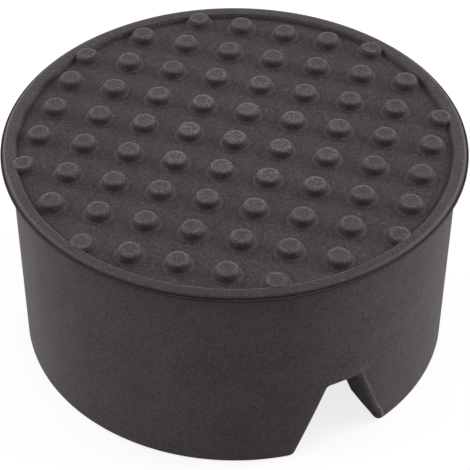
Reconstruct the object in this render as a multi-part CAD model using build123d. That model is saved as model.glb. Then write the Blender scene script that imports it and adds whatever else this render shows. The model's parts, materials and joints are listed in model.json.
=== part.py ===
from build123d import *
import os
from math import ceil, hypot

# Rubber jack pad, moulded in one piece: a thick round block with a studded deck on top,
# a raised ring round the deck, a thin lip under the ring, and a round pocket in the underside
# that drops over the saddle. A tapered notch in the skirt opens the pocket to one side.
# Millimetres. The base lies on Z = 0, the axis is Z, and the notch faces -Y.

# Outside
lip_diameter = 120.0
lip_thickness = 0.8
lip_overhang = 2.6            # the lip stands this far out from the top of the wall
wall_draft = 1.0              # the wall closes in by this much from its top to its foot

# Top
deck_height = 58.5            # base to the floor between the studs
ring_height = 1.4             # above the deck
ring_width = 3.0              # along its top, from its inner edge to the line of its outer side
ring_draft = 0.7              # the ring's inner side widens by this much down to the deck
lip_ledge = 0.6               # the lip stands this far out from the foot of the ring

# Studs, in a square lattice turned from the notch's axis
stud_pitch = 12.2
stud_height = 2.4
stud_top_diameter = 5.8
stud_foot_diameter = 7.4
stud_root = 0.6               # how deep the root of a stud is buried in the deck
lattice_turn = 45.0           # degrees

# Pocket in the underside
pocket_diameter = 86.4
pocket_depth = 30.0

# Notch through the skirt
notch_mouth_width = 24.5
notch_top_width = 8.0
notch_height = 21.6

# Moulded edges
ring_bevel = 0.8              # outer shoulder of the ring, down to the top of the lip
under_lip_bevel = 0.8
pocket_mouth_bevel = 0.8
pocket_roof_bevel = 2.5
notch_top_round = 1.0         # in the two upper corners of the notch
notch_edge_round = 1.7        # where the notch comes out through the wall

lip_radius = lip_diameter / 2
ring_outer = lip_radius - lip_ledge
wall_top = lip_radius - lip_overhang
wall_foot = wall_top - wall_draft


def turned(*corners):
    """Revolve a closed outline, given as (radius, height) corners, about the axis."""
    with BuildPart() as body:
        with BuildSketch(Plane.XZ):
            with BuildLine():
                Polyline(*corners, close=True)
            make_face()
        revolve(axis=Axis.Z)
    return body.part


def block():
    """The turned block: deck, ring, lip, tapered wall and pocket."""
    ring_top = deck_height + ring_height
    lip_top = ring_top - ring_bevel
    lip_bottom = lip_top - lip_thickness
    pocket = pocket_diameter / 2
    return turned(
        (0, deck_height),
        (ring_outer - ring_width - ring_draft, deck_height),
        (ring_outer - ring_width, ring_top),
        (ring_outer - ring_bevel, ring_top),
        (ring_outer, lip_top),
        (lip_radius, lip_top),
        (lip_radius, lip_bottom),
        (wall_top + under_lip_bevel, lip_bottom),
        (wall_top, lip_bottom - under_lip_bevel),
        (wall_foot, 0),
        (pocket + pocket_mouth_bevel, 0),
        (pocket, pocket_mouth_bevel),
        (pocket, pocket_depth - pocket_roof_bevel),
        (pocket - pocket_roof_bevel, pocket_depth),
        (0, pocket_depth),
    )


def stud():
    """One stud, a blunt cone that stands on Z = 0, with its root below."""
    top = stud_top_diameter / 2
    foot = stud_foot_diameter / 2
    return turned(
        (0, stud_height),
        (top, stud_height),
        (foot, 0),
        (foot, -stud_root),
        (0, -stud_root),
    )


def lattice_places():
    """Lattice points whose studs stand inside the outer edge of the ring."""
    reach = ring_outer - stud_foot_diameter / 2
    rows = ceil(reach / stud_pitch)
    steps = range(-rows, rows + 1)
    square = [(column * stud_pitch, row * stud_pitch) for column in steps for row in steps]
    kept = [place for place in square if hypot(*place) < reach]
    return [Vector(*place).rotate(Axis.Z, lattice_turn) for place in kept]


def notch():
    """The wedge that cuts the notch: a trapezoid pushed out from the axis, towards -Y."""
    mouth = notch_mouth_width / 2
    top = notch_top_width / 2
    corners = [(-mouth, 0), (-top, notch_height), (top, notch_height), (mouth, 0)]
    with BuildPart() as wedge:
        with BuildSketch(Plane.XZ):
            Polygon(*corners, align=None)
            fillet(vertices().group_by(Axis.Y)[-1], notch_top_round)
        extrude(amount=lip_radius)
    return wedge.part


def wall_rim(notch_edges):
    """The edges of the notch that lie on the wall, above the base."""
    def on_wall(edge):
        middle = edge @ 0.5
        return middle.Z > 0 and hypot(middle.X, middle.Y) > wall_foot - notch_edge_round
    return notch_edges.filter_by(on_wall)


def jack_pad():
    with BuildPart() as pad:
        add(block())
        add(notch(), mode=Mode.SUBTRACT)
        fillet(wall_rim(pad.edges(Select.NEW)), notch_edge_round)
        with Locations(*[(place.X, place.Y, deck_height) for place in lattice_places()]):
            add(stud())
    return pad.part


pad = jack_pad()
pad.label = "jack_pad"
os.makedirs("parts", exist_ok=True)
export_step(pad, "parts/jack_pad.step")
print("studs", len(lattice_places()), "solids", len(pad.solids()), "volume", round(pad.volume))
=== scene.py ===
import json
import math
import random

import bmesh
import bpy
from mathutils import Matrix, Vector, noise


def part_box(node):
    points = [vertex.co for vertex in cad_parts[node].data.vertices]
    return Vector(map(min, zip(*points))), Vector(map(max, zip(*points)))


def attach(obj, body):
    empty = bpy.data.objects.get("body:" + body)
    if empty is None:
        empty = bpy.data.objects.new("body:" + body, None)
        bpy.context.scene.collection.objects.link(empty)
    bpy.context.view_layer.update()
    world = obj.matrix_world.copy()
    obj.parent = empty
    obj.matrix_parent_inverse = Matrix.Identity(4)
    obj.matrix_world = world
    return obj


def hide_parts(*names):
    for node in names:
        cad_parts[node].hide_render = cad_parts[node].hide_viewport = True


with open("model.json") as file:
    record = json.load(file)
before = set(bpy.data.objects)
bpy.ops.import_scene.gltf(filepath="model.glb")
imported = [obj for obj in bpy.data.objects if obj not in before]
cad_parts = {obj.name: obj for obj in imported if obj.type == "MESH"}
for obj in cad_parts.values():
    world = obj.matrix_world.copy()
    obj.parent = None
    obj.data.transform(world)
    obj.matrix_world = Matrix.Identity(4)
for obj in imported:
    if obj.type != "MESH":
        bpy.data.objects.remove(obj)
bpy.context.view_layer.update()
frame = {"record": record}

# Rubber jack pad: a round moulded block with a studded deck inside a raised ring, a thin lip
# under the ring, a round pocket in the underside and a tapered notch through the skirt.
# Sizes are in metres, in the frame of the part: base on Z = 0, axis on Z, notch facing -Y.
MM = 0.001
pad_low, pad_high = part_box("jack_pad")
saddle_pocket = frame["record"]["mounts"][0]

# Studs
stud_height = 2.4 * MM
stud_pitch = 12.2 * MM
stud_top_radius = 2.9 * MM
stud_waist_radius = 3.4 * MM
stud_foot_radius = 3.7 * MM
stud_flange_radius = 4.1 * MM
lattice_turn = math.radians(45)
lattice_shift = 0.25 * MM         # the studs lie this far off centre, along the turned lattice
stud_wander = 0.05 * MM           # and each one up to this far from its own place
ring_stud_height = 1.75 * MM      # the studs that stand against the ring are lower
ring_stud_inset = 0.4 * MM        # and stand this far in from their places

# Deck, ring and lip
pad_height = pad_high[2]
deck_height = pad_height - stud_height
ring_height = 1.4 * MM            # above the deck
ring_width = 3.0 * MM
ring_draft = 0.7 * MM             # the ring's inner side widens by this much down to the deck
ring_shoulder = 0.8 * MM          # from the top of the ring down to the lip
lip_thickness = 0.8 * MM
lip_ledge = 0.6 * MM              # the lip stands this far out from the ring
lip_overhang = 2.6 * MM           # and this far out from the top of the wall
crease_depth = 0.22 * MM          # of the groove between ring and lip
clearance = 0.02 * MM             # keeps the lip within the solid's own box
buried = 1.0 * MM                 # how far hidden faces lie below the deck

ring_top = deck_height + ring_height
lip_radius = (pad_high[0] - pad_low[0]) / 2 - clearance
ring_outer = lip_radius - lip_ledge
ring_inner = ring_outer - ring_width
lip_top = ring_top - ring_shoulder
lip_bottom = lip_top - lip_thickness
stud_reach = ring_outer - stud_foot_radius

# Wall, pocket and notch
wall_draft = 1.0 * MM             # the wall closes in by this much from its top to its foot
wall_top = lip_bottom - 0.6 * MM
wall_top_radius = lip_radius - lip_overhang
wall_foot_radius = wall_top_radius - wall_draft
pocket_radius = saddle_pocket["dims"]["r_mm"] * MM
pocket_depth = 30 * MM
skirt_middle = (pocket_radius + wall_foot_radius) / 2
notch_mouth = 24.5 * MM
notch_top = 8.0 * MM
notch_height = 21.6 * MM
notch_slope = (notch_mouth - notch_top) / 2 / notch_height
notch_top_round = 0.4 * MM
notch_edge_round = 1.7 * MM
inner_edge_round = 0.45 * MM

# Viewpoint of the photograph
camera_azimuth = math.radians(-118.96)
camera_elevation = math.radians(43.23)
camera_distance = 0.5615
camera_roll = 0.0037
camera_lens = 156.03
aim = Vector((0, 0, 0.02746))
aim_aside = 0.17 * MM

# Softboxes: name, degrees round from the camera's side, and power in watts
SOFTBOXES = (("left", -85, 3.0), ("left, behind", -130, 2.4), ("right", 100, 6.1))
softbox_size = (0.5, 0.6)
softbox_distance = 0.9
softbox_height = 0.35
room_light = 0.56

# Columns of faces round the block, and how many either side of the notch's centre are opened
COLUMNS = 288
NOTCH_COLUMNS = 4
notch_angle = NOTCH_COLUMNS * 2 * math.pi / COLUMNS
notch_reach = math.radians(62)    # columns are shifted round the block as far as this from the notch

# Rows of faces beside the notch, above it in the pocket, and above that on the wall, in millimetres
NOTCH_ROWS = (1.4, 2.2, 3.5, 6, 9, 12, 15, 18, 20.4, 21.2, 21.45)
POCKET_ROWS = (24.2, 26.5)
WALL_ROWS = (31, 36, 42, 48, 54)

# Square cells across the deck, one for each stud, and cuts in each side of a cell
CELLS_ACROSS = 11
CELL_CUTS = 11
CELL_VERTS = 4 * (CELL_CUTS + 1)
DECK_SIDES = 64                   # planes that cut the deck round

# Roundings finer than FINE_ROUND get fewer segments
ROUND_SEGMENTS = 4
FINE_SEGMENTS = 2
FINE_ROUND = 0.2 * MM

# Waves round the trimmed lip, each with how deep it may cut in millimetres, and the one nick
RAGGED = ((7, 0.10), (24, 0.06), (70, 0.04))
trim_start = ring_outer + 0.25 * MM
nick_angle = math.radians(-157.3)
nick_spread = math.radians(0.9)
nick_depth = 0.3 * MM

rng = random.Random(12)


def show(name, data):
    """Put a new object that holds this data into the scene."""
    shown = bpy.data.objects.new(name, data)
    bpy.context.scene.collection.objects.link(shown)
    return shown


def rounded(corners):
    """Points (radius, height) of an open outline whose corners are (radius, height, rounding)."""
    bm = bmesh.new()
    verts = [bm.verts.new((radius, 0, height)) for radius, height, rounding in corners]
    for start, end in zip(verts, verts[1:]):
        bm.edges.new((start, end))
    vert = verts[0]
    for corner_vert, (radius, height, rounding) in zip(verts, corners):
        if rounding:
            segments = ROUND_SEGMENTS if rounding > FINE_ROUND else FINE_SEGMENTS
            bmesh.ops.bevel(bm, geom=[corner_vert], offset=rounding, offset_type="OFFSET",
                            affect="VERTICES", segments=segments, profile=0.5, material=-1)
    points = []
    edge = None
    while vert:
        points.append((vert.co.x, vert.co.z))
        onward = [link for link in vert.link_edges if link != edge]
        edge = onward[0] if onward else None
        vert = edge.other_vert(vert) if edge else None
    bm.free()
    return points


def polar(co):
    """Distance from the axis, and the angle from -Y, positive towards +X."""
    return math.hypot(co.x, co.y), math.atan2(co.x, -co.y)


def notch_half_width(height):
    """Half the notch's width at a height, with its upper corners rounded."""
    half = notch_mouth / 2 - notch_slope * height
    above = height - (notch_height - notch_top_round)
    if above > 0:
        half -= notch_top_round - math.sqrt(max(0, notch_top_round ** 2 - above ** 2))
    return half


def notch_side_angle(radius, height):
    """Where the side of the notch lies round the block. Above the notch its shift fades out."""
    half = notch_half_width(min(height, notch_height))
    angle = math.asin(half / radius)
    fade = max(0, height - notch_height) / (pocket_depth - 3 * MM - notch_height)
    return angle + (notch_angle - angle) * min(1, fade)


def shift_columns(bm):
    """Move the columns round the block, so that two of them follow the sides of the notch."""
    for vert in bm.verts:
        radius, angle = polar(vert.co)
        if radius < pocket_radius - MM or abs(angle) > notch_reach or vert.co.z > pocket_depth:
            continue
        side = notch_side_angle(radius, vert.co.z)
        if abs(angle) <= notch_angle + 0.001:
            shifted = angle * side / notch_angle
        else:
            share = (abs(angle) - notch_angle) / (notch_reach - notch_angle)
            start = side + notch_edge_round / radius
            shifted = math.copysign(start + share * (notch_reach - start), angle)
        vert.co.x = radius * math.sin(shifted)
        vert.co.y = -radius * math.cos(shifted)


def in_notch(face):
    """Whether a face of the wall, the base or the pocket lies where the notch opens."""
    centre = face.calc_center_median()
    radius, angle = polar(centre)
    beside = abs(angle) < notch_angle and radius > pocket_radius - 0.5 * MM
    return beside and centre.z < notch_height


def on_outside(edge):
    return all(polar(vert.co)[0] > skirt_middle for vert in edge.verts)


def on_notch_rim(edge):
    """Whether an edge is a sharp one between the notch's lining and the skirt round it."""
    if len(edge.link_faces) != 2 or edge.calc_face_angle() < math.radians(35):
        return False
    for vert in edge.verts:
        radius, angle = polar(vert.co)
        beside = abs(angle) < math.radians(24) and radius > pocket_radius - MM
        if not beside or vert.co.z > notch_height + MM:
            return False
    return True


def round_edges(bm, edges, rounding, segments):
    bmesh.ops.bevel(bm, geom=edges, offset=rounding, offset_type="OFFSET", affect="EDGES",
                    segments=segments, profile=0.5, material=-1)


def open_notch(bm):
    """Open the notch through the skirt, line it, and round its rim."""
    bmesh.ops.delete(bm, geom=[face for face in bm.faces if in_notch(face)], context="FACES")
    shift_columns(bm)
    # The long edges across the base join the outer opening to the inner one, so they are left out
    opening = [edge for edge in bm.edges if edge.is_boundary and edge.calc_length() < 5 * MM]
    bmesh.ops.bridge_loops(bm, edges=opening)
    bmesh.ops.recalc_face_normals(bm, faces=bm.faces)
    rim = [edge for edge in bm.edges if on_notch_rim(edge)]
    round_edges(bm, [edge for edge in rim if on_outside(edge)], notch_edge_round, 6)
    rim = [edge for edge in bm.edges if on_notch_rim(edge)]
    round_edges(bm, [edge for edge in rim if not on_outside(edge)], inner_edge_round, 3)


def heights(rows):
    return [row * MM for row in rows]


def wall_point(height):
    """A plain point of the outline on the wall, which draws in evenly towards its foot."""
    radius = wall_foot_radius + (wall_top_radius - wall_foot_radius) * height / wall_top
    return radius, height, 0


def block_outline():
    """Half the block's section, from a floor buried under the deck round to the pocket's roof."""
    notch_rows = heights(NOTCH_ROWS) + [notch_height]
    pocket_rows = notch_rows + heights(POCKET_ROWS)
    wall_rows = pocket_rows + heights(WALL_ROWS)
    buried_radius = ring_inner - ring_draft * (1 + buried / ring_height)
    corners = [
        (0, deck_height - buried, 0),
        (buried_radius, deck_height - buried, 0),
        (ring_inner, ring_top, 0.45 * MM),
        (ring_outer, ring_top, 0.9 * MM),
        (ring_outer, lip_top - crease_depth, 0.06 * MM),
        (ring_outer + 0.2 * MM, lip_top, 0.1 * MM),
        (lip_radius, lip_top, 0.18 * MM),
        (lip_radius, lip_bottom, 0.3 * MM),
        (wall_point(lip_bottom)[0], lip_bottom, 0.7 * MM),
    ]
    corners += [wall_point(height) for height in reversed(wall_rows)]
    corners += [(wall_foot_radius, 0, 0.8 * MM), (pocket_radius, 0, 0.8 * MM)]
    corners += [(pocket_radius, height, 0) for height in pocket_rows]
    corners += [(pocket_radius, pocket_depth, 2.5 * MM), (0, pocket_depth, 0)]
    return rounded(corners)


def block():
    """The turned block with its notch: ring, lip, tapered wall, base and pocket."""
    bm = bmesh.new()
    verts = [bm.verts.new((radius, 0, height)) for radius, height in block_outline()]
    edges = [bm.edges.new(pair) for pair in zip(verts, verts[1:])]
    bmesh.ops.spin(bm, geom=verts + edges, cent=(0, 0, 0), axis=(0, 0, 1), angle=2 * math.pi,
                   steps=COLUMNS, use_merge=True)
    bmesh.ops.remove_doubles(bm, verts=bm.verts, dist=0.001 * MM)
    bmesh.ops.recalc_face_normals(bm, faces=bm.faces)
    open_notch(bm)
    return bm


def ragged_lip(bm):
    """The edge of the lip is trimmed flash: it comes in by an uneven hair, and has one nick."""
    for vert in bm.verts:
        radius = math.hypot(vert.co.x, vert.co.y)
        edge = (radius - trim_start) / (lip_radius - trim_start)
        if edge <= 0 or vert.co.z < lip_bottom - 0.01 * MM:
            continue
        angle = math.atan2(vert.co.y, vert.co.x)
        ragged = nick_depth * math.exp(-((angle - nick_angle) / nick_spread) ** 2)
        for waves, depth in RAGGED:
            spot = Vector((math.cos(angle), math.sin(angle), depth)) * waves
            ragged += depth * MM * (0.5 + 0.5 * noise.noise(spot))
        trimmed = (radius - ragged * edge) / radius
        vert.co.x *= trimmed
        vert.co.y *= trimmed


def stud_outline():
    """A stud from the edge of its cell to the middle of its top, as (radius, height) points."""
    return rounded([
        (stud_flange_radius + 0.6 * MM, 0, 0),
        (stud_flange_radius, 0, 0.08 * MM),
        (stud_flange_radius - 0.1 * MM, 0.1 * MM, 0.1 * MM),
        (stud_waist_radius, 0.5 * MM, 0.45 * MM),
        (stud_top_radius, stud_height, 0.95 * MM),
        (0.62 * stud_top_radius, stud_height, 0),
        (0.4 * stud_top_radius, stud_height - 0.06 * MM, 0),
    ])


def stud_cells(bm):
    """A square cell for each stud, with each of its sides cut into short edges."""
    bmesh.ops.create_grid(bm, x_segments=CELLS_ACROSS, y_segments=CELLS_ACROSS,
                          size=CELLS_ACROSS * stud_pitch / 2)
    cells = [face for face in bm.faces if face.calc_center_median().length < stud_reach]
    sides = dict.fromkeys(edge for cell in cells for edge in cell.edges)
    bmesh.ops.subdivide_edges(bm, edges=list(sides), cuts=CELL_CUTS, use_grid_fill=False)
    return cells


def stud_places(cells):
    """Centre, size, share of the full height and first corner of each cell's stud."""
    centres = [cell.calc_center_median() for cell in cells]
    sizes = [rng.uniform(0.985, 1.012) for cell in cells]
    shares = [rng.uniform(0.965, 0.995) for cell in cells]
    starts = []
    for number, (cell, centre) in enumerate(zip(cells, centres)):
        leaning = [vert.co.x + vert.co.y for vert in cell.verts]
        starts.append(leaning.index(min(leaning)))
        across = lattice_shift + rng.uniform(-stud_wander, stud_wander)
        along = rng.uniform(-stud_wander, stud_wander)
        shift = Vector((across, along, 0))
        if centre.length > stud_reach - 1.5 * MM:
            shares[number] = ring_stud_height / stud_height
            shift = -ring_stud_inset * centre.normalized()
        centres[number] = centre + shift
    return list(zip(centres, sizes, shares, starts))


def raise_studs(bm, cells):
    """Draw every cell in, step by step, to the rings of its stud."""
    places = stud_places(cells)
    for radius, height in stud_outline():
        bmesh.ops.inset_individual(bm, faces=cells, thickness=0.05 * MM, depth=0, use_even_offset=False)
        for cell, (centre, size, share, start) in zip(cells, places):
            for step, vert in enumerate(list(cell.verts)):
                turn = math.radians(-135) + 2 * math.pi * (step - start) / CELL_VERTS
                outward = Vector((math.cos(turn), math.sin(turn), 0))
                vert.co = centre + outward * radius * size + Vector((0, 0, height * share))


def cut_round(bm, radius):
    """Trim the lattice to a circle."""
    for side in range(DECK_SIDES):
        turn = 2 * math.pi * side / DECK_SIDES
        outward = Vector((math.cos(turn), math.sin(turn), 0))
        geom = list(bm.verts) + list(bm.edges) + list(bm.faces)
        bmesh.ops.bisect_plane(bm, geom=geom, plane_co=outward * radius, plane_no=outward,
                               clear_outer=True)


def close_below(bm):
    """Give the deck a skirt and a bottom, which lie hidden in the block."""
    border = [edge for edge in bm.edges if edge.is_boundary]
    skirt = bmesh.ops.extrude_edge_only(bm, edges=border)["geom"]
    for vert in [item for item in skirt if isinstance(item, bmesh.types.BMVert)]:
        vert.co.z = -1.4 * buried
    bottom = [item for item in skirt if isinstance(item, bmesh.types.BMEdge) and item.is_boundary]
    bmesh.ops.edgeloop_fill(bm, edges=bottom)
    bmesh.ops.recalc_face_normals(bm, faces=bm.faces)


def studded_deck():
    """The floor of the deck with its studs: a lattice of square cells, cut round under the ring."""
    bm = bmesh.new()
    raise_studs(bm, stud_cells(bm))
    cut_round(bm, ring_outer - 0.9 * MM)
    close_below(bm)
    placed = Matrix.Translation((0, 0, deck_height)) @ Matrix.Rotation(lattice_turn, 4, "Z")
    bmesh.ops.transform(bm, matrix=placed, verts=bm.verts)
    return bm


def jack_pad():
    """The whole moulding as one object: the block, with the deck's shell sunk into it."""
    mesh = bpy.data.meshes.new("pad")
    deck = studded_deck()
    deck.to_mesh(mesh)
    deck.free()
    bm = block()
    ragged_lip(bm)
    bm.from_mesh(mesh)
    bm.to_mesh(mesh)
    bm.free()
    mesh.shade_smooth()
    mesh.set_sharp_from_angle(angle=math.radians(42))
    return show("pad", mesh)


class Value:
    """A node's output that takes part in sums, so that shader maths reads as an expression."""

    def __init__(self, finish, socket):
        self.finish = finish
        self.socket = socket

    def __add__(self, other):
        return self.finish.maths("ADD", self, other)

    def __radd__(self, other):
        return self.finish.maths("ADD", other, self)

    def __sub__(self, other):
        return self.finish.maths("SUBTRACT", self, other)

    def __rsub__(self, other):
        return self.finish.maths("SUBTRACT", other, self)

    def __mul__(self, other):
        return self.finish.maths("MULTIPLY", self, other)

    def __rmul__(self, other):
        return self.finish.maths("MULTIPLY", other, self)

    def __truediv__(self, other):
        return self.finish.maths("DIVIDE", self, other)

    def __rtruediv__(self, other):
        return self.finish.maths("DIVIDE", other, self)

    def __pow__(self, other):
        return self.finish.maths("POWER", self, other)


class Finish:
    """The nodes of a material, or of the room, being made."""

    def __init__(self, owner):
        self.owner = owner
        owner.use_nodes = True
        owner.node_tree.nodes.clear()

    def node(self, kind, settings=None, inputs=None, output=0):
        """Add a node with its settings, and with values or links on its sockets."""
        tree = self.owner.node_tree
        made = tree.nodes.new(kind)
        for name, setting in (settings or {}).items():
            setattr(made, name, setting)
        for name, value in (inputs or {}).items():
            if isinstance(value, Value):
                tree.links.new(value.socket, made.inputs[name])
            else:
                made.inputs[name].default_value = value
        return Value(self, made.outputs[output]) if made.outputs else None

    def maths(self, operation, *values):
        return self.node("ShaderNodeMath", {"operation": operation}, dict(enumerate(values)))

    def vector(self, operation, inputs):
        return self.node("ShaderNodeVectorMath", {"operation": operation}, inputs)

    def noise(self, position, scale, detail, roughness):
        inputs = {"Vector": position, "Scale": scale, "Detail": detail, "Roughness": roughness}
        return self.node("ShaderNodeTexNoise", {}, inputs)

    def spread(self, position, scale, detail, roughness):
        """Noise stretched to reach from 0 to 1, with its middle at 0.5."""
        return self.step(self.noise(position, scale, detail, roughness), 0.34, 0.66)

    def step(self, value, low, high):
        """0 at low, 1 at high, smooth between. Where low is above high, it falls instead of rising."""
        inputs = {"Value": value, "From Min": low, "From Max": high}
        return self.node("ShaderNodeMapRange", {"interpolation_type": "SMOOTHSTEP"}, inputs)

    def band(self, value, centre, half_width):
        """1 at centre, fading to 0 at half_width either side."""
        return self.step(self.maths("ABSOLUTE", value - centre), half_width, 0)

    def blend(self, share, first, second):
        inputs = {"Factor": share, "A": first, "B": second}
        return self.node("ShaderNodeMix", {"data_type": "RGBA"}, inputs, output=2)

    def mix_shaders(self, share, first, second):
        return self.node("ShaderNodeMixShader", {}, {0: share, 1: first, 2: second})


def grey(level, red=0.0, blue=0.0):
    """A grey with these shares more of red and of blue than it has of green."""
    return (level * (1 + red), level, level * (1 + blue), 1)


# Colours of the rubber, from its dark level to its pale one, and of what lies on it
dark_level = 0.01
pale_level = 0.12
dark_rubber = grey(dark_level, 0.38, 0.06)
warm_rubber = grey(pale_level, 0.36, 0.0)
cool_rubber = grey(pale_level, 0.27, 0.12)
# Pale grey for dusty stud tops and for wear on the ring, also used as painted light on the ring
dust_wear_and_light = grey(0.17, 0.22, 0.03)
scuff = grey(0.22, 0.10, 0.07)
lint = grey(0.20, 0.08, 0.06)
deep_mark = grey(0.012, 0.2, 0.05)


class Places:
    """Where a point lies on the pad: distances in millimetres, and masks that go from 0 to 1."""

    def __init__(self, finish):
        self.finish = finish
        self.step = finish.step
        self.band = finish.band
        metres = finish.node("ShaderNodeTexCoord", output=3)
        self.position = finish.vector("SCALE", {0: metres, "Scale": 1 / MM})
        self.x, self.y, self.z = [
            finish.node("ShaderNodeSeparateXYZ", {}, {0: self.position}, output=axis) for axis in range(3)]
        self.radius = (self.x * self.x + self.y * self.y) ** 0.5
        self.height = self.z - deck_height / MM
        self.from_stud = self.distance_from_stud()
        self.mark_surfaces()
        self.mark_rim()
        self.mark_studs()
        self.mark_notch()

    def distance_from_stud(self):
        """How far a point lies from the axis of the nearest stud in the turned lattice."""
        pitch = stud_pitch / MM
        cos = math.cos(lattice_turn)
        sin = math.sin(lattice_turn)
        across = (self.x * cos + self.y * sin - lattice_shift / MM) / pitch + 0.5
        along = (self.y * cos - self.x * sin) / pitch + 0.5
        across = (self.finish.maths("FRACT", across) - 0.5) * pitch
        along = (self.finish.maths("FRACT", along) - 0.5) * pitch
        return (across * across + along * along) ** 0.5

    def mark_surfaces(self):
        """Deck and ring, wall, the inside of pocket and notch, and the two sides of the pad. The inside
        takes painted shade; the sides, and how far a point faces away, are measured from the camera to
        place painted light.
        """
        ring_in = ring_inner / MM
        wall = wall_foot_radius / MM
        self.above_deck = self.step(self.height, -0.6, -0.2)
        self.on_ring = self.step(self.radius, ring_in - 0.4, ring_in - 0.1) * self.above_deck
        self.on_wall = self.step(self.radius, wall - 2.4, wall - 1.4) * (1 - self.above_deck)
        # Painted shade on the inside of pocket and notch
        self.inside = self.step(self.radius, wall - 0.2, wall - 1.6) * (1 - self.above_deck)
        self.middle = self.step(self.radius, 40, 5)
        cos = math.cos(camera_azimuth)
        sin = math.sin(camera_azimuth)
        sideways = (self.x * sin - self.y * cos) / self.radius
        self.away = (self.x * -cos - self.y * sin) / self.radius
        self.sides = sideways * sideways

    def mark_rim(self):
        """The ring's shoulder, inner edge and foot, the edge of the lip and the groove above it. The foot,
        the lip's edge and the groove carry painted shade; the shoulder and inner edge carry wear with
        painted light.
        """
        ring_in = ring_inner / MM
        ring_out = ring_outer / MM
        # Painted shade along the foot of the ring's inner side
        foot = self.band(self.radius, ring_in - 0.9, 0.8) * self.step(self.height, 0.8, 0.4)
        self.ring_foot_shade = foot * self.above_deck
        self.ring_edge = self.band(self.radius, ring_in + 0.1, 0.3) * self.step(self.height, 0.9, 1.3)
        self.shoulder = self.band(self.radius, ring_out - 0.6, 0.45) * self.on_ring
        # Painted shade on the lip's edge, beside the groove
        self.lip_edge_shade = self.step(self.radius, ring_out + 0.05, ring_out + 0.25)
        # Painted shade in the groove between ring and lip
        self.crease_shade = self.band(self.radius, ring_out + 0.1, 0.4) * self.step(self.height, 0.3, 0.5)

    def mark_studs(self):
        """The top, rim, side and thin foot of each stud. The side and the foot carry painted shade."""
        top = stud_top_radius / MM
        flange = stud_flange_radius / MM
        lowest = ring_stud_height / MM
        off_ring = 1 - self.on_ring
        on_top = self.step(self.from_stud, top + 0.1, top - 0.4)
        on_stud = self.step(self.from_stud, flange - 0.1, flange - 0.4) * self.step(self.height, 0.2, 0.6)
        on_foot = self.band(self.from_stud, flange, 0.4) * self.step(self.height, 0.6, 0.2)
        self.stud_top = on_top * self.step(self.height, lowest - 0.4, lowest)
        self.stud_rim = self.band(self.from_stud, top - 0.7, 0.9) * self.stud_top
        # Painted shade on the stud sides
        self.stud_side_shade = on_stud * (1 - self.stud_top) * off_ring
        # Painted shadow round each stud's foot
        self.stud_foot_shadow = on_foot * self.above_deck * off_ring

    def mark_notch(self):
        """Wear on one side of the notch's rim, painted shade on the rounding of the other, flecks above
        and a nick.
        """
        top = notch_height / MM
        half_mouth = notch_mouth / 2 / MM
        past_side = self.finish.maths("ABSOLUTE", self.x) - (half_mouth - notch_slope * self.z)
        in_front = self.step(self.y, -50, -53)
        beside = self.step(self.z, top + 1.5, top) * in_front
        self.notch_wear = self.band(past_side, 2.2, 0.55) * self.step(self.x, 0, 3) * beside
        # Painted shade on the rounding of the notch's other side
        self.notch_edge_shade = self.band(past_side, 0.9, 0.9) * self.step(self.x, 0, -3) * beside
        self.over_notch = self.band(self.x, 6, 5) * self.band(self.z, top + 2.2, 2.0) * in_front
        past_nick = (self.x - (half_mouth + 0.5)) + (self.z - 5.25) * 0.295
        along_nick = self.step(self.z, 0.8, 1.3) * self.step(self.z, 5.6, 5.0) * in_front
        self.bright_nick = self.band(past_nick, 0.3, 0.4) * along_nick
        self.dark_nick = self.band(past_nick, -0.5, 0.5) * along_nick

    def scratch(self):
        """A short pale scratch high on the wall, to the right of the notch."""
        degrees = self.finish.maths("ARCTAN2", self.y, self.x) * math.degrees(1)
        return self.band(degrees, -62.4, 2.2) * self.band(self.z, 50.8, 0.4) * self.on_wall


class Texture:
    """Cloudy tone, mottling, grain and flecks, each from 0 to 1."""

    def __init__(self, finish, position):
        elsewhere = finish.vector("ADD", {0: position, 1: (40, 7, 13)})
        self.cloud = finish.spread(position, 0.11, 3, 0.6)
        self.tint = finish.spread(elsewhere, 0.16, 2, 0.5)
        self.mottle = finish.spread(position, 0.9, 2, 0.5)
        self.grain = finish.spread(position, 2.4, 2, 0.6)
        self.fine = finish.noise(position, 8.0, 2, 0.6)
        self.sparkle = finish.step(finish.noise(position, 3.0, 1, 0.4), 0.56, 0.66)
        self.lint = finish.step(finish.noise(position, 1.7, 1, 0.4), 0.70, 0.76)


def bare_level(on, texture):
    """How pale the rubber is before anything lies on it, with painted shade in grooves, joins, linings and
    on stud sides, and painted light on the ring.
    """
    grain_share = 1.15 - 0.50 * on.on_wall - 0.35 * on.on_ring
    clouds = 0.16 * (texture.cloud - 0.5) + 0.20 * (texture.mottle - 0.5)
    tone = 1 + clouds + grain_share * (texture.grain - 0.5)
    # Painted light: the ring is palest at the two sides, as seen from the camera, and darkest at the
    # front, facing the camera
    ring_painted_light = 0.93 + 0.24 * on.sides + 0.17 * on.away * (1 - on.sides)
    # The wall is paler than the deck: partly its own tone, partly painted light standing in for bounce
    # from the dim floor
    level = (0.035 + 0.026 * on.on_wall + 0.003 * on.on_ring) * tone
    level = level * (1 + (ring_painted_light - 1) * on.on_ring)
    # Painted shade as darkening in the colour: ring foot, lip edge, groove, one side of the notch, stud
    # feet and sides, and the lining
    painted_shade = (
        (0.45, on.ring_foot_shade), (0.35, on.lip_edge_shade), (0.90, on.crease_shade), (0.30, on.notch_edge_shade),
        (0.30, on.stud_foot_shadow), (0.55, on.stud_side_shade), (0.90, on.inside),
    )
    for share, mask in painted_shade:
        level = level * (1 - share * mask)
    return level


def bare_colour(finish, on, texture):
    pale = finish.blend(0.7 * texture.tint + 0.3 * on.on_wall, warm_rubber, cool_rubber)
    share = (bare_level(on, texture) - dark_level) / (pale_level - dark_level)
    return finish.blend(share, dark_rubber, pale)


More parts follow.
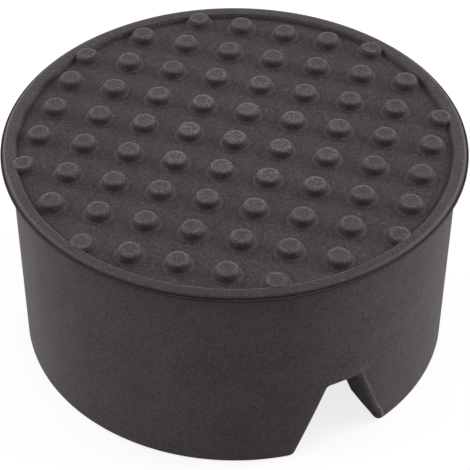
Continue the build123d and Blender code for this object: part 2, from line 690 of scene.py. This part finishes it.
def worn_colour(finish, on, texture):
    """The rubber with dusty studs, wear on its edges with painted light on the ring, scuffs, lint and the
    nick.
    """
    grain = texture.grain
    top_dust = (0.20 + 0.60 * on.middle) * texture.sparkle + (0.05 + 0.22 * on.middle) * grain
    rim_dust = 0.06 + 0.16 * grain + 0.3 * texture.sparkle
    # Wear on the ring, with painted light: the shoulder paler at the two sides and the inner edge paler at
    # front and back, as seen from the camera
    shoulder_wear_and_light = (0.15 + 0.85 * on.sides) * (0.20 + 0.35 * grain)
    edge_wear_and_light = (1 - 0.6 * on.sides) * (0.05 + 0.35 * grain)
    dusted = on.stud_top * top_dust + on.stud_rim * rim_dust
    wear_and_light = on.shoulder * shoulder_wear_and_light + on.ring_edge * edge_wear_and_light
    scuffed = on.notch_wear * (0.15 + 0.95 * grain * grain) + on.over_notch * texture.sparkle
    scuffed = scuffed + 0.7 * on.bright_nick + 0.35 * on.scratch()
    colour = finish.blend(dusted + wear_and_light, bare_colour(finish, on, texture), dust_wear_and_light)
    colour = finish.blend(scuffed, colour, scuff)
    colour = finish.blend(texture.lint * (0.25 + 0.25 * on.above_deck), colour, lint)
    return finish.blend(0.9 * on.dark_nick, colour, deep_mark)


def rubber_finish():
    """Matt moulded rubber: dark warm grey, finely grained, dusty on its studs and with wear at its edges,
    with painted shade in grooves, joins, linings and on stud sides, and painted light on its ring.
    """
    finish = Finish(bpy.data.materials.new("rubber"))
    on = Places(finish)
    texture = Texture(finish, on.position)
    grain = texture.grain
    roughness = 0.72 - 0.16 * on.on_wall - 0.08 * on.shoulder + 0.10 * (grain - 0.5)
    height = (0.5 * grain + 0.4 * texture.fine + 0.6 * texture.mottle) * (1 + on.stud_top)
    bump = finish.node("ShaderNodeBump", {}, {"Strength": 0.3, "Distance": 0.12 * MM, "Height": height})
    surface = finish.node("ShaderNodeBsdfPrincipled", {}, {
        "Base Color": worn_colour(finish, on, texture),
        "Roughness": roughness,
        "Specular IOR Level": 0.5,
        "Sheen Weight": 0.28,
        "Sheen Roughness": 0.35,
        "Normal": bump,
    })
    finish.node("ShaderNodeOutputMaterial", {}, {"Surface": surface})
    return finish.owner


def floor_finish():
    """A white sweep. Seen by the camera it is white paper that still takes the pad's shadow."""
    finish = Finish(bpy.data.materials.new("white floor"))
    camera_ray = finish.node("ShaderNodeLightPath")
    lit = finish.node("ShaderNodeBsdfDiffuse", {}, {"Color": grey(0.24)})
    shaded = finish.node("ShaderNodeBsdfDiffuse", {}, {"Color": grey(0.30)})
    glow = finish.node("ShaderNodeEmission", {}, {"Color": grey(1.0), "Strength": 0.8})
    seen = finish.node("ShaderNodeAddShader", {}, {0: shaded, 1: glow})
    surface = finish.mix_shaders(camera_ray, lit, seen)
    finish.node("ShaderNodeOutputMaterial", {}, {"Surface": surface})
    return finish.owner


def beside_camera(turn, distance, height):
    """A place that far from the axis, turned about it from the camera's side, in degrees."""
    angle = camera_azimuth + math.radians(turn)
    return Vector((distance * math.cos(angle), distance * math.sin(angle), height))


def facing(place, target):
    """Stand at a place, looking at a target."""
    turned = (target - place).to_track_quat("-Z", "Y").to_matrix().to_4x4()
    return Matrix.Translation(place) @ turned


def add_camera():
    data = bpy.data.cameras.new("camera")
    data.lens = camera_lens
    data.sensor_width = 36
    data.sensor_fit = "HORIZONTAL"
    data.clip_start = 0.01
    data.clip_end = 20
    flat = camera_distance * math.cos(camera_elevation)
    place = beside_camera(0, flat, camera_distance * math.sin(camera_elevation))
    right = Vector((-math.sin(camera_azimuth), math.cos(camera_azimuth), 0))
    camera = show("camera", data)
    camera.matrix_world = facing(place, aim + right * aim_aside) @ Matrix.Rotation(camera_roll, 4, "Z")
    bpy.context.scene.camera = camera


def add_softbox(name, turn, power):
    data = bpy.data.lights.new(name, "AREA")
    data.shape = "RECTANGLE"
    data.size, data.size_y = softbox_size
    data.energy = power
    place = beside_camera(turn, softbox_distance, softbox_height)
    show(name, data).matrix_world = facing(place, Vector((0, 0, pad_height / 2)))


def add_floor():
    bm = bmesh.new()
    bmesh.ops.create_grid(bm, x_segments=1, y_segments=1, size=4)
    bmesh.ops.translate(bm, verts=bm.verts, vec=(0, 0, -0.05 * MM))
    mesh = bpy.data.meshes.new("floor")
    bm.to_mesh(mesh)
    bm.free()
    mesh.materials.append(floor_finish())
    floor = show("floor", mesh)


def light_room():
    """White to the camera, a soft grey to the pad, with softboxes either side."""
    room = Finish(bpy.data.worlds.new("studio"))
    camera_ray = room.node("ShaderNodeLightPath")
    around = room.node("ShaderNodeBackground", {}, {"Color": grey(1.0), "Strength": room_light})
    seen = room.node("ShaderNodeBackground", {}, {"Color": grey(1.0), "Strength": 1.0})
    room.node("ShaderNodeOutputWorld", {}, {"Surface": room.mix_shaders(camera_ray, around, seen)})
    bpy.context.scene.world = room.owner
    for name, turn, power in SOFTBOXES:
        add_softbox(name, turn, power)


pad = jack_pad()
pad.data.materials.append(rubber_finish())
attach(pad, "root")
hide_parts("jack_pad")

add_floor()
light_room()
add_camera()
bpy.context.scene.view_settings.view_transform = "Standard"
